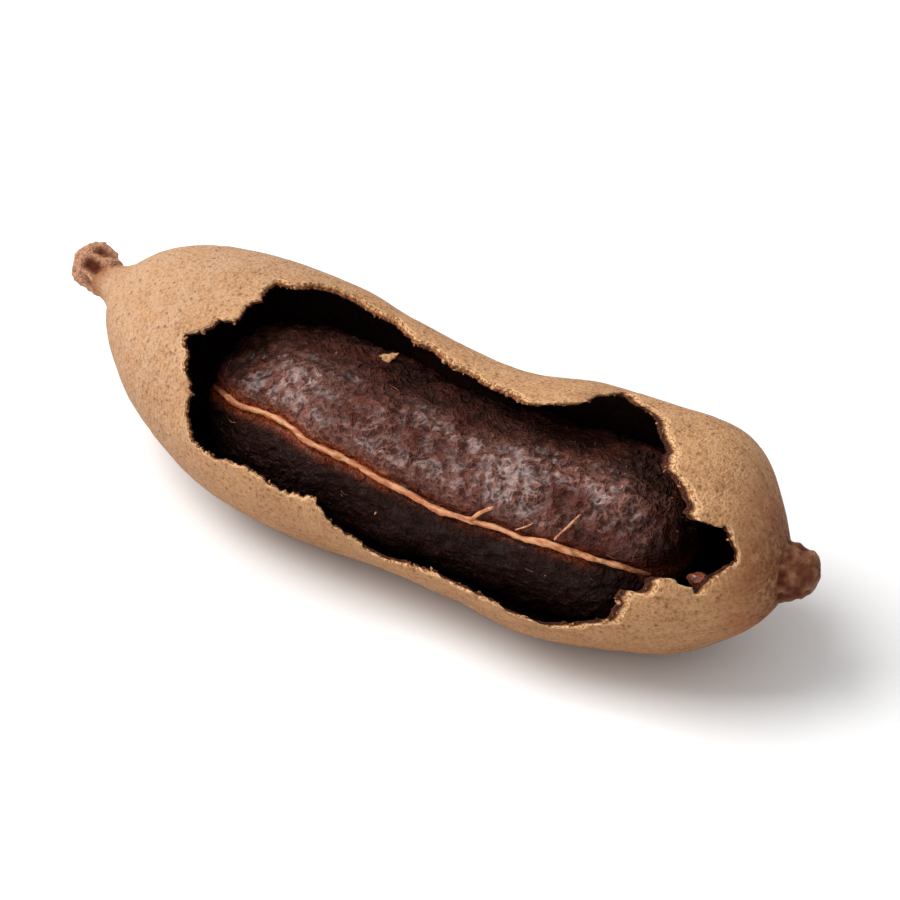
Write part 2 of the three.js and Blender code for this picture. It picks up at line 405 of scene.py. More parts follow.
SKIN_LIGHT = srgb(196, 150, 107)
SKIN_PALE = srgb(190, 154, 124)
SKIN_TAN = srgb(172, 125, 84)
SKIN_RUST = srgb(140, 82, 48)
SKIN_BROWN = srgb(126, 82, 50)
SKIN_SPECK = srgb(84, 51, 31)
BREAK_PALE = srgb(226, 182, 134)
BREAK_TAN = srgb(158, 104, 64)
LINING = srgb(96, 48, 28)
LINING_DARK = srgb(40, 19, 12)


def shell_finish():
    f = Finish("pod_shell")
    depth = f.attribute("depth")
    near_break = f.attribute("near_break")
    lie = f.attribute("lie", "Vector")
    ends = f.attribute("ends")
    tipwards = f.attribute("tipwards")
    stalkwards = f.attribute("stalkwards")
    far_side = f.attribute("far_side")
    painted_shade_underneath = f.attribute("painted_shade_underneath")

    broad = f.grain(9.0, 3)
    patch = f.grain(2.4, 4, warp=0.6)
    sand = f.grain(0.46, 3)
    dust = f.grain(0.25, 2)
    streak = f.grain(1.5, 4, f.stretch(lie, (0.2, 1.0, 1.0)), 0.6)
    fine_streak = f.grain(0.5, 3, f.stretch(lie, (0.3, 1.0, 1.0)), 0.5)
    pit = f.cells(0.8)
    pit_chance = f.add("ShaderNodeSeparateColor", {}, {"Color": f.cells(0.8, output="Color")})["Red"]
    pit_dark = (pit + 0.5 * (dust - 0.5)).ramp(0.30, 0.10) * pit_chance.ramp(0.40, 0.75)

    tone = broad.ramp(0.36, 0.66) * 0.5 + patch.ramp(0.36, 0.66) * 0.5
    skin = f.blend(tone, SKIN_TAN, SKIN_LIGHT)
    skin = f.blend(stalkwards * (0.35 + 0.45 * patch.ramp(0.4, 0.6)), skin, SKIN_PALE)
    skin = f.blend(streak.ramp(0.50, 0.70) * (0.12 + 0.40 * tipwards), skin, SKIN_BROWN)
    skin = f.blend(sand.ramp(0.52, 0.68) * 0.46, skin, SKIN_BROWN)
    skin = f.blend(sand.ramp(0.48, 0.34) * 0.65, skin, SKIN_LIGHT)
    skin = f.blend(dust.ramp(0.50, 0.66) * 0.36, skin, SKIN_BROWN)
    skin = f.blend(dust.ramp(0.48, 0.34) * 0.36, skin, SKIN_LIGHT)
    skin = f.blend(pit_dark * 0.55, skin, SKIN_SPECK)
    # Painted shade: the underside of the skin is painted browner and darker.
    skin = f.blend(painted_shade_underneath * 0.35, skin, SKIN_BROWN)
    skin = f.blend(ends.ramp(0.0, 0.8) * (0.4 + 0.5 * patch.ramp(0.4, 0.6)), skin, SKIN_RUST)
    skin = f.blend(ends.ramp(0.5, 1.0) * (0.2 + 0.5 * sand.ramp(0.4, 0.6)), skin, SKIN_SPECK)
    skin = f.blend(near_break.ramp(0.30, 0.05) * patch.ramp(0.38, 0.55) * 0.7, skin, BREAK_PALE)

    torn = f.grain(0.32, 3)
    broken = f.blend(torn.ramp(0.40, 0.58), BREAK_TAN, BREAK_PALE)
    darker = f.blend(torn.ramp(0.42, 0.60) * 0.7, LINING_DARK, LINING)
    inwards = f.blend(far_side, darker, f.blend(torn.ramp(0.40, 0.62), LINING, BREAK_TAN))
    broken = f.blend((depth + 0.5 * (torn - 0.5)).ramp(0.36, 0.56), broken, inwards)
    lining = f.blend(f.grain(1.4, 4).ramp(0.35, 0.65), LINING_DARK, LINING)
    # Painted shade: the lining is painted darker the further it lies from the break, deeper in the
    # hollow.
    lining = f.blend(near_break.ramp(1.0, 4.0) * 0.8, lining, LINING_DARK)
    colour = f.blend(depth.ramp(0.02, 0.12), skin, broken)
    colour = f.blend(depth.ramp(0.75, 0.98), colour, lining)

    outside = depth.ramp(0.1, 0.02)
    height = sand * 0.34 + dust * 0.16 + patch * 0.16 + fine_streak * 0.10 * (0.2 + tipwards)
    height = height + streak * 0.26 * (0.1 + tipwards) - pit_dark * 0.10
    height = height * outside + torn * 0.30 * (1 - outside)
    return f.surface({
        "Base Color": colour,
        "Roughness": 0.62 + 0.2 * sand + 0.2 * (1 - outside),
        "Specular IOR Level": 0.18,
        "Normal": f.bumps(height),
    })


skin_run, skin_s, skin_radius = stations(SHELL_PROFILE, SKIN_SPACING)
skin_rows = len(skin_s)
last_row = skin_rows - 1
SKIN_STEP = skin_run[1] - skin_run[0]
DEGREES = 360.0 / SKIN_COLUMNS

# The CAD shell's box says where the pod is set down in the frame, with its worn underside at
# the bottom of that box.
low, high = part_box("shell")
outline = around_pod(skin_s[:, None], np.arange(0, 360, 3.0)[None, :], skin_radius[:, None])
outline = outline.reshape(-1, 3)
shift_x = low.x - outline[:, 0].min() * MM
shift_y = high.y - outline[:, 1].max() * MM
set_down = np.array([shift_x, shift_y, low.z - REST_CUT * MM])


def jagged_break():
    """The broken edge as a closed line, in (row, angle), with chips and teeth of random size."""
    corners = np.array(NEAR_BREAK + FAR_BREAK[::-1], float)
    corners = np.vstack([corners, corners[:1]])
    radius = np.interp(corners[:, 0], skin_s, skin_radius)
    run_at = np.interp(corners[:, 0], skin_s, skin_run)
    steps = np.hypot(np.diff(run_at), np.radians(np.diff(corners[:, 1])) * radius[1:])
    reach = np.r_[0, np.cumsum(steps)]
    even = np.arange(0, reach[-1] - BREAK_SPACING / 2, BREAK_SPACING)
    run = np.interp(even, reach, run_at)
    angle = np.interp(even, reach, corners[:, 1])
    local = np.interp(run, skin_run, skin_radius)
    flat = np.stack([run, np.radians(angle) * MEAN_RADIUS], axis=1)
    lean = np.roll(flat, -2, 0) - np.roll(flat, 2, 0)
    lean /= np.linalg.norm(lean, axis=1)[:, None]
    into = np.stack([-lean[:, 1], lean[:, 0]], axis=1)
    tipwards = unit((run - skin_run[0] - 60) / 25)
    scallop = 0.5 - 1.6 * np.abs(along_line(even, 1.9, 5))
    teeth = 0.5 - 1.6 * np.abs(along_line(even, 0.75, 9))
    crumbs = along_line(even, 0.3, 13)
    push = scallop * (0.10 + 0.26 * tipwards) + teeth * (0.30 - 0.18 * tipwards) + crumbs * 0.06
    fade = unit(np.minimum(even, reach[-1] - even))
    moved = into * (push * fade)[:, None]
    run = run + moved[:, 0]
    angle = angle + np.degrees(moved[:, 1] / np.maximum(local, 4.0))
    return np.stack([run / SKIN_STEP, angle], axis=1)


break_line = jagged_break()

# Rows and columns of the rectangle of skin that holds the break
row_from = int(break_line[:, 0].min()) - 2
row_to = int(break_line[:, 0].max()) + 3
column_from = int((break_line[:, 1].min() + 180) / DEGREES) - 2
column_to = int((break_line[:, 1].max() + 180) / DEGREES) + 3


def in_rectangle(i, j):
    return row_from <= i < row_to and column_from <= j < column_to


skin_faces, skin_at = grid_faces(skin_rows, SKIN_COLUMNS, in_rectangle)

ring_rows = np.repeat(np.arange(1, last_row), SKIN_COLUMNS).astype(float)
ring_angles = np.tile(np.arange(SKIN_COLUMNS) * DEGREES - 180.0, last_row - 1)
vertex_rows = np.r_[0.0, ring_rows, float(last_row)]
vertex_angles = np.r_[0.0, ring_angles, 0.0]


def inside_line(points, line):
    """Which points lie inside a closed line."""
    inside = np.zeros(len(points), bool)
    x, y = points[:, 0], points[:, 1]
    for (x0, y0), (x1, y1) in zip(line, np.roll(line, -1, 0)):
        if y0 == y1:
            continue
        crosses = (y0 > y) != (y1 > y)
        inside ^= crosses & (x < (x1 - x0) * (y - y0) / (y1 - y0) + x0)
    return inside


def tree_of(points):
    """A tree that finds the nearest of some points."""
    tree = kdtree.KDTree(len(points))
    for k, point in enumerate(points):
        tree.insert(point, k)
    tree.balance()
    return tree


# Degrees are drawn at this many rows each, so that triangles near the break come out even.
FLAT = math.radians(1.0) * MEAN_RADIUS / SKIN_STEP
flat_break = break_line * (1.0, FLAT)
places = [(i, j) for i in range(row_from, row_to + 1) for j in range(column_from, column_to + 1)]
grid_flat = np.array([(i, (j * DEGREES - 180.0) * FLAT) for i, j in places])
break_tree = tree_of([(x, y, 0) for x, y in flat_break])
clearance = np.array([break_tree.find((x, y, 0))[2] for x, y in grid_flat])
border = np.array([i in (row_from, row_to) or j in (column_from, column_to) for i, j in places])
kept = border | ((clearance > CLEAR_OF_BREAK) & ~inside_line(grid_flat, flat_break))
kept_places = [place for place, keep in zip(places, kept) if keep]
flat_points = [Vector(p) for p in np.vstack([grid_flat[kept], flat_break])]
first = len(kept_places)
loop = [(first + k, first + (k + 1) % len(flat_break)) for k in range(len(flat_break))]
found_points, _, found_faces, origins, _, _ = geometry.delaunay_2d_cdt(
    flat_points, loop, [], 0, 1e-5, True
)
vertex_of = []
for point, origin in zip(found_points, origins):
    grid_ids = [o for o in origin if o < first]
    if grid_ids:
        vertex_of.append(skin_at(*kept_places[grid_ids[0]]))
        continue
    vertex_of.append(len(vertex_rows))
    vertex_rows = np.append(vertex_rows, point.x)
    vertex_angles = np.append(vertex_angles, point.y / FLAT)
flat_found = np.array([tuple(p) for p in found_points])
middles = np.array([flat_found[list(face)].mean(0) for face in found_faces])
for face, gone in zip(found_faces, inside_line(middles, flat_break)):
    a, b, c = flat_found[list(face)]
    area = (b[0] - a[0]) * (c[1] - a[1]) - (c[0] - a[0]) * (b[1] - a[1])
    if not gone and abs(area) > 1e-9:
        ring = [vertex_of[v] for v in face]
        skin_faces.append(ring if area > 0 else ring[::-1])

used = sorted({v for face in skin_faces for v in face})
renumber = {v: k for k, v in enumerate(used)}
skin_faces = [[renumber[v] for v in face] for face in skin_faces]
vertex_rows, vertex_angles = vertex_rows[used], vertex_angles[used]
count = len(used)

row_numbers = np.arange(skin_rows)
vertex_s = np.interp(vertex_rows, row_numbers, skin_s)
vertex_radius = np.interp(vertex_rows, row_numbers, skin_radius)

# Edges of the skin that belong to one face only run round the break.
edges = dict.fromkeys(edge for face in skin_faces for edge in zip(face, face[1:] + face[:1]))
after = {b: a for a, b in edges if (b, a) not in edges}
start = next(iter(after))
rim = [start]
while after[rim[-1]] != start and len(rim) <= len(after):
    rim.append(after[rim[-1]])

# Distance from the break, measured on the smooth skin
smooth = around_pod(vertex_s, vertex_angles, vertex_radius)
rim_tree = tree_of(smooth[rim])
near_break = np.array([rim_tree.find(p)[2] for p in smooth])

ends = unit((vertex_s - 35) / 6) + 0.7 * unit((-47.5 - vertex_s) / 3.5)
tipwards = unit((vertex_s + 5) / 35)
stalkwards = unit((-16 - vertex_s) / 14)
far_side = unit((vertex_angles - 78) / 20) * unit((24 - vertex_s) / 8)
# Painted shade: how far each point lies towards the underside, where the skin is painted darker.
painted_shade_underneath = unit(0.45 - np.sin(np.radians(vertex_angles)))
lie_angle = np.radians(vertex_angles)
lie = [vertex_s, MEAN_RADIUS * np.cos(lie_angle), MEAN_RADIUS * np.sin(lie_angle)]
lie = np.stack(lie, axis=1)

# Swellings over the seeds, a skin that is never quite even, and ridges that gather at the ends
shape = 0.34 * speckle(smooth, 15, 1) + 0.16 * speckle(smooth, 6, 2) + 0.05 * rough(smooth, 2.2, 3)
ridges = 0.18 * rough(lie * (0.12, 0.26, 0.26), 1.0, 7, 2) * unit(ends * 1.6)
uneven = (shape + ridges) * unit(vertex_radius / 3)
curl = 0.34 * speckle(smooth, 3.4, 11) * np.exp(-near_break / 1.6)
outer = around_pod(vertex_s, vertex_angles, vertex_radius + uneven + curl)
outer[:, 2] = np.maximum(outer[:, 2], REST_CUT)

# The inner face follows the outer one, and closes before the stub at each end.
row_in = [0, *np.searchsorted(skin_s, HOLLOW_FULL), last_row]
s_in = [HOLLOW_ENDS[0], skin_s[row_in[1]], skin_s[row_in[2]], HOLLOW_ENDS[1]]
inner_s = np.interp(vertex_rows, row_in, s_in)
inner_radius = np.interp(inner_s, skin_s[1:-1], skin_radius[1:-1])
steepness = np.gradient(skin_radius[1:-1], skin_s[1:-1] + 1e-6 * row_numbers[1:-1])
slope = np.interp(inner_s, skin_s[1:-1], steepness)
thinning = 0.58 - 0.42 * far_side + 0.10 * tipwards * (1 - far_side)
thin = WALL - thinning * np.exp(-near_break / 0.9) + 0.10 * speckle(smooth, 2.0, 17)
inner_radius = inner_radius - thin * np.sqrt(1 + np.clip(slope, -2, 2) ** 2)
closing = unit((inner_s - HOLLOW_ENDS[0]) / 2.5)
closing *= unit((HOLLOW_ENDS[1] - inner_s) / 1.6)
inner_radius = np.maximum(inner_radius, 0.4) * np.sqrt(closing)
inner_radius = inner_radius + (uneven + curl) * unit(inner_radius / 4)
inner = around_pod(inner_s, vertex_angles, inner_radius)
inner[:, 2] = np.maximum(inner[:, 2], REST_CUT + 0.8 * WALL)

points = [outer, inner]
faces = list(skin_faces)
faces += [[v + count for v in face[::-1]] for face in skin_faces]
depths = [np.zeros(count), np.ones(count)]

# The broken edge itself: rough layers between the outer and the inner face
rim = np.array(rim)
top, bottom = outer[rim], inner[rim]
forward = np.roll(top, -1, 0) - np.roll(top, 1, 0)
into_gap = np.cross(forward, top - bottom)
into_gap /= np.linalg.norm(into_gap, axis=1)[:, None] + 1e-9
rings = [rim]
for layer in range(1, BREAK_LAYERS):
    share = layer / BREAK_LAYERS
    level = top + (bottom - top) * share
    jut = 0.07 * speckle(level, 0.45, 21 + layer) + 0.08 * speckle(level, 1.3, 31)
    level = level + into_gap * jut[:, None] * math.sin(math.pi * share) ** 0.5
    rings.append(np.arange(len(rim)) + sum(len(p) for p in points))
    points.append(level)
    depths.append(np.full(len(rim), 0.12 + 0.72 * share))
rings.append(rim + count)
for upper, lower in zip(rings, rings[1:]):
    for k in range(len(rim)):
        n = (k + 1) % len(rim)
        faces.append([int(upper[k]), int(upper[n]), int(lower[n]), int(lower[k])])

extra = sum(len(p) for p in points) - 2 * count


def on_both_faces(values):
    """Values for the outer and the inner face, and zeros for the layers between them."""
    return np.r_[values, values, np.zeros(extra)]


shell = make_piece(
    "pod_shell",
    np.vstack(points),
    faces,
    shell_finish(),
    {
        "depth": np.concatenate(depths),
        "near_break": on_both_faces(near_break),
        "ends": on_both_faces(ends),
        "tipwards": on_both_faces(tipwards),
        "stalkwards": on_both_faces(stalkwards),
        "far_side": np.r_[far_side, far_side, np.tile(far_side[rim], BREAK_LAYERS - 1)],
        "painted_shade_underneath": on_both_faces(painted_shade_underneath),
        "lie": np.vstack([lie, lie, np.tile(lie[rim], (BREAK_LAYERS - 1, 1))]),
    },
)
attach(shell, "root")
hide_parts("shell")


def scattered(name, mesh, mask, per_mm2, smallest, largest, seed, material, stem=False):
    """Small hard crumbs, or fine bent hairs, at random over a mesh where its mask says so."""
    g = Growth(name, Density=per_mm2 / MM**2, Smallest=smallest * MM, Largest=largest * MM, Seed=seed)
    inputs = {"Mesh": g.given["Geometry"], "Density": g.named(mask) * g.given["Density"]}
    inputs["Seed"] = g.given["Seed"]
    spread = g.add("GeometryNodeDistributePointsOnFaces", {"distribute_method": "RANDOM"}, inputs)
    if stem:
        ends_at = {"Start": (-0.5, 0.0, 0.0), "Middle": (0.1, 0.18, 0.2), "End": (0.5, 0.0, 0.04)}
        curve = g.add("GeometryNodeCurveQuadraticBezier", {}, {"Resolution": 6, **ends_at})["Curve"]
        ring = g.add("GeometryNodeCurvePrimitiveCircle", {}, {"Resolution": 4, "Radius": 0.028})
        inputs = {"Curve": curve, "Profile Curve": ring["Curve"], "Fill Caps": True}
        shape = g.add("GeometryNodeCurveToMesh", {}, inputs)["Mesh"]
        shape = g.add("GeometryNodeSetShadeSmooth", {}, {"Geometry": shape})["Geometry"]
        lopsided, tilt = ((0.8, 0.8, 0.8), (1.2, 1.2, 1.2)), (0.25, 0.25, math.pi)
    else:
        shape = g.add("GeometryNodeMeshIcoSphere", {}, {"Radius": 0.5, "Subdivisions": 1})["Mesh"]
        lopsided, tilt = ((0.5, 0.4, 0.12), (1.5, 1.0, 0.4)), (math.pi, math.pi, math.pi)
    large = g.random(0.0, 1.0, 1).math("POWER", 3.0)
    size = g.given["Smallest"] + (g.given["Largest"] - g.given["Smallest"]) * large
    stretch = g.random(*lopsided, 2)
    scale = g.add("ShaderNodeVectorMath", {"operation": "SCALE"}, {"Vector": stretch, "Scale": size})
    inputs = {"Points": spread["Points"], "Instance": shape}
    inputs.update({"Rotation": spread["Rotation"], "Scale": scale["Vector"]})
    bits = g.add("GeometryNodeInstanceOnPoints", {}, inputs)["Instances"]
    turn = g.random(tuple(-angle for angle in tilt), tilt, 3)
    bits = g.add("GeometryNodeRotateInstances", {}, {"Instances": bits, "Rotation": turn})["Instances"]
    return g.grow(name, mesh, bits, material)


def crumb_finish(name, dark, middle, pale):
    f = Finish(name)
    tone = f.grain(0.7, 3)
    fine = f.grain(0.2, 2)
    colour = f.blend(tone.ramp(0.35, 0.5), dark, middle)
    colour = f.blend(tone.ramp(0.5, 0.65), colour, pale)
    colour = f.blend(fine.ramp(0.5, 0.7) * 0.3, colour, dark)
    return f.surface({
        "Base Color": colour,
        "Roughness": 0.7 + 0.15 * fine,
        "Specular IOR Level": 0.25,
        "Normal": f.bumps(fine * 0.1),
    })


# Crumbs of the shell cling along the broken edge, and some of them to the lining just inside
# of it.
break_mesh = shell.data.copy()
broken_depth = np.concatenate(depths)
crumbly = ((broken_depth > 0.15) & (broken_depth < 0.9)).astype(np.float32)
crumbly[count : 2 * count] = np.exp(-near_break / 0.35) * 0.4
crumbly[2 * count :] *= 1 - 0.75 * np.tile(tipwards[rim] * (1 - far_side[rim]), BREAK_LAYERS - 1)
store(break_mesh, "crumbly", crumbly)
break_crumbs = scattered(
    "break_crumbs", break_mesh, "crumbly", per_mm2=5.0, smallest=0.12, largest=0.75, seed=4,
    material=crumb_finish("pod_break_crumb", LINING, BREAK_TAN, srgb(206, 158, 112)),
)
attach(break_crumbs, "root")
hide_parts("shell")

# ---- pulp ----
# The pulp is one slug of sticky, leathery paste that dried and shrank away from the shell. Its
# surface is wrinkled into small beads and folds, and it is glossy where it is still moist. Its
# ridges carry a painted sheen, and it is painted darker as shade in its furrows and cracks, deep in
# the shell and below the strand.
PULP_PROFILE = [
    (-28.5, 2.4), (-26.6, 6.0), (-23.0, 8.7), (-16.0, 10.1), (-8.0, 10.2), (0.0, 9.9),
    (8.0, 9.7), (16.0, 10.4), (24.0, 10.0), (28.6, 8.2), (30.6, 5.4), (31.4, 2.2),
]
PULP_DROP = 1.15
PULP_SPACING = 0.29
PULP_COLUMNS = 230
STRAND_ROUTE = [
    (-25, 25), (-20.8, 27.5), (-16, 31.5), (-12.8, 32), (-9, 30), (-4.3, 28), (0, 25),
    (4.5, 23), (8, 21.5), (13, 22.5), (16, 21), (19.5, 21.5), (23, 19), (26.7, 17.5), (29, 12),
]
PULP_BROWN = srgb(86, 46, 35)
PULP_RED = srgb(92, 40, 28)
PULP_DARK = srgb(26, 11, 8)
PULP_PAINTED_SHEEN = srgb(172, 118, 102)
PULP_AMBER = srgb(176, 78, 32)


def pulp_finish(name, gloss=0.72, haze=0.24):
    f = Finish(name)
    hollow = f.attribute("hollow")
    under_strand = f.attribute("under_strand")
    below_strand = f.attribute("below_strand")
    moist_and_painted_sheen = f.attribute("moist_and_painted_sheen")
    broad = f.grain(4.5, 3)
    fold = f.grain(1.5, 1.5, f.stretch(f.place, (0.9, 1.0, 1.0)), 0.8)
    curl = (fold - 0.5).math("ABSOLUTE").ramp(0.15, 0.0)
    knit = f.grain(0.85, 1, warp=0.7)
    thread = (knit - 0.5).math("ABSOLUTE").ramp(0.13, 0.0)
    fine = f.grain(0.35, 1)
    light = (curl * 0.5 + thread * 0.6).math("MINIMUM", 1.0)
    tone = f.blend(broad.ramp(0.35, 0.65), PULP_BROWN, PULP_RED)
    # Painted shade: the furrows between the wrinkles' ridges are painted darker.
    tone = f.blend((1 - light) * 0.55, tone, PULP_DARK)
    # Painted sheen: the moist ridges are painted pale pink, as if they caught the light.
    tone = f.blend(light * moist_and_painted_sheen * 0.5, tone, PULP_PAINTED_SHEEN)
    # Painted shade: the pulp is painted darker in its cracks and deep in the shell; on the crumb this
    # only darkens its tone.
    tone = f.blend(hollow * 0.85, tone, PULP_DARK)
    # Painted shade: below the strand the pulp is painted almost black.
    tone = f.blend(below_strand * 0.92, tone, PULP_DARK)
    tone = f.blend(under_strand * (0.35 + 0.6 * fine.ramp(0.4, 0.6)), tone, PULP_AMBER)
    height = curl * 0.22 + thread * 0.16 + fold * 0.20 + fine * 0.03
    return f.surface({
        "Base Color": tone,
        "Roughness": 0.45 + 0.25 * fine.ramp(0.35, 0.7),
        "Specular IOR Level": 0.07,
        "Coat Weight": (0.2 + 0.8 * light) * moist_and_painted_sheen * gloss,
        "Coat Roughness": haze,
        "Normal": f.bumps(height),
    })


_, pulp_s, pulp_radius = stations(PULP_PROFILE, PULP_SPACING)
pulp_faces, _ = grid_faces(len(pulp_s), PULP_COLUMNS)


def on_grid(s, radius, columns):
    """s, radius and angle at each vertex of a grid of rings between two poles."""
    angle = np.tile(np.arange(columns) * 360.0 / columns, len(s) - 2)
    s = np.r_[s[0], np.repeat(s[1:-1], columns), s[-1]]
    radius = np.r_[0.0, np.repeat(radius[1:-1], columns), 0.0]
    return s, radius, np.r_[0.0, angle, 0.0]


def with_lumps(radius, points):
    """Radius with the broad lumps of the pulp added."""
    return radius + 0.60 * speckle(points, 8.0, 41) + 0.55 * speckle(points, 4.2, 42)


grid_s, grid_radius, grid_angle = on_grid(pulp_s, pulp_radius, PULP_COLUMNS)
strand_at = through(STRAND_ROUTE, np.linspace(0, 1, 300))
strand_angle = np.interp(grid_s, strand_at[:, 0], strand_at[:, 1])
off_strand = (grid_angle - strand_angle + 180) % 360 - 180
off_strand_mm = np.radians(off_strand) * np.maximum(grid_radius, 1.0)

# Painted shade: below the strand the pulp faces the near rim, which shades it, so it is painted dark.
below_strand = unit(-off_strand_mm / 1.2) * (np.abs(off_strand) < 120)

smooth = around_pod(grid_s, grid_angle, grid_radius, PULP_DROP)
lumps = with_lumps(0.0, smooth)
bent = smooth + 0.7 * np.stack([speckle(smooth, 2.1, 50 + k) for k in range(3)], axis=1)
beads = np.array([noise.voronoi(Vector(p) / 1.25)[0][0] for p in bent])
folds = np.array([noise.voronoi(Vector(p) / 2.6)[0][:2] for p in bent])
crack = unit(1 - (folds[:, 1] - folds[:, 0]) / 0.3) * unit(speckle(smooth, 5, 45) + 0.6)
wrinkle = 1 - 2 * np.abs(speckle(bent * (0.6, 1.0, 1.0), 1.1, 43))
ripple = 1 - 2 * np.abs(speckle(bent, 0.6, 44))
valley = 0.85 * np.exp(-((off_strand_mm / 0.9) ** 2))
shelf = 0.45 * np.exp(-(((off_strand_mm - 2.4) / 1.6) ** 2))
height = lumps + 0.30 * (0.5 - beads) + 0.20 * wrinkle + 0.05 * ripple - 0.24 * crack - valley + shelf
height = height * unit(grid_radius / 3)
# Painted shade: the pulp is painted darker in its cracks and between its beads, and where it lies deep in
# the shell, towards the ends and the far side.
hollow = unit(0.5 * crack + 0.5 * (beads - 0.4))
sunken = unit((-15 - grid_s) / 9) + unit((grid_s - 25) / 5)
sunken = unit(sunken + unit((grid_angle - 68) / 25) * (grid_angle < 270))
sunken = sunken * (0.85 + 0.4 * speckle(smooth, 2.5, 54))
hollow = unit(hollow + 0.75 * sunken)
under_glow = unit(0.55 + 0.6 * speckle(smooth, 3.0, 55) + np.clip((4 - grid_s) / 25, -0.3, 0.3))
# The moist, glossy zone faces where the key light reflects, and the painted sheen follows it.
facing_up = unit(1.25 - np.abs(grid_angle - 57) / 30)
moist_and_painted_sheen = unit(0.1 + 1.2 * facing_up * np.clip(0.75 + 1.0 * rough(smooth, 5, 46, 2), 0, 1.3))
moist_and_painted_sheen = moist_and_painted_sheen * (1 - 0.8 * unit(sunken))
moist_and_painted_sheen = np.maximum(moist_and_painted_sheen * (1 - below_strand), 0.03 + 0.25 * unit(speckle(smooth, 1.2, 47)))
pulp = make_piece(
    "dried_pulp",
    around_pod(grid_s, grid_angle, grid_radius + height, PULP_DROP),
    pulp_faces,
    pulp_finish("pod_pulp"),
    {
        "hollow": hollow,
        "under_strand": np.exp(-((off_strand_mm / 0.9) ** 2)) * under_glow,
        "below_strand": below_strand,
        "moist_and_painted_sheen": moist_and_painted_sheen,
    },
)
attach(pulp, "root")
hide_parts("pulp")

# Dust and shreds of torn lining from the shell are stuck here and there to the pulp, most of
# them below the rim of the opening.
litter_mesh = pulp.data.copy()
open_side = unit(1 - np.abs(grid_angle - 42) / 75) * (grid_angle < 130)
towards_rim = unit(np.abs(grid_angle - 40) / 45 - 0.45)
litter = (0.08 + towards_rim) * open_side * unit(0.3 + rough(smooth, 3, 48, 2))
store(litter_mesh, "litter", litter)
pulp_litter = scattered(
    "pulp_litter", litter_mesh, "litter", per_mm2=1.6, smallest=0.14, largest=0.8, seed=9,
    material=crumb_finish("pod_litter", srgb(60, 34, 24), srgb(112, 70, 46), srgb(178, 132, 92)),
)
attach(pulp_litter, "root")
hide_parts("pulp")

# ---- strands ----
# Woody fibres run the length of a tamarind pod between the shell and the pulp. The main one
# lies in a groove of the pulp, thin and knotty, with a short fork.
FORK_ROUTE = [(10.4, 22), (10.9, 26), (11.6, 31), (12.6, 36)]
FIBRE_ROUTE = [(19.6, 26), (20.0, 30), (20.7, 37), (21.4, 46)]
SHORT_FIBRE_ROUTE = [(15.2, 24), (16.4, 29), (17.1, 33)]
STRAND_PALE = srgb(196, 140, 98)
STRAND_ORANGE = srgb(160, 88, 48)
STRAND_DARK = srgb(92, 42, 24)


def strand_finish(name, pale, mid):
    f = Finish(name)
    near_end = f.attribute("near_end")
    fibres = f.grain(0.5, 4, f.stretch(f.place, (0.3, 1.0, 1.0)))
    knots = f.grain(1.6, 2)
    colour = f.blend(fibres.ramp(0.36, 0.6), mid, pale)
    colour = f.blend(knots.ramp(0.56, 0.7) * 0.6, colour, STRAND_DARK)
    colour = f.blend(near_end * 0.8, colour, STRAND_DARK)
    return f.surface({
        "Base Color": colour,
        "Roughness": 0.45 + 0.2 * fibres,
        "Specular IOR Level": 0.4,
        "Subsurface Weight": 0.15,
        "Subsurface Radius": (0.6, 0.25, 0.1),
        "Subsurface Scale": 0.6 * MM,
        "Normal": f.bumps(fibres * 0.16),
    })


def pulp_top(s, angle):
    """Radius of the finished pulp, without its fine wrinkles, at s and an angle."""
    radius = np.interp(s, pulp_s, pulp_radius)
    place = around_pod(s, angle, radius, PULP_DROP)
    return with_lumps(radius, place)


def strand_routes(name, strands):
    """Plain lines over the pulp, each from a route, a height, half a width and a seed."""
    places, edges, half_widths, near_ends = [], [], [], []
    for route, lift, half_width, seed in strands:
        path = through(route, np.linspace(0, 1, 30 * len(route)))
        radius = pulp_top(path[:, 0], path[:, 1])
        t = np.linspace(0, 1, len(path))
        wander = along_line(path[:, 0], 3.1, seed) * 0.20 + along_line(path[:, 0], 1.1, seed + 1) * 0.05
        lift_here = lift(t) if callable(lift) else lift
        line = around_pod(path[:, 0], path[:, 1] + np.degrees(wander / 10), radius + lift_here, PULP_DROP)
        first = len(places)
        edges += [(first + k, first + k + 1) for k in range(len(path) - 1)]
        knots = unit(along_line(path[:, 0], 1.9, seed + 2) - 0.5) * 0.8
        taper = np.clip(np.minimum(t, 1 - t) * len(path) / 14, 0.12, 1) ** 0.5
        uneven = 1 + 0.16 * along_line(path[:, 0], 0.8, seed + 3)
        places += (line * MM + set_down).tolist()
        half_widths += (half_width * uneven * taper * (1 + knots) * MM).tolist()
        near_ends += unit(1 - np.minimum(t, 1 - t) * 9).tolist()
    mesh = bpy.data.meshes.new(name)
    mesh.from_pydata(places, edges, [])
    store(mesh, "half_width", half_widths)
    store(mesh, "near_end", near_ends)
    return mesh


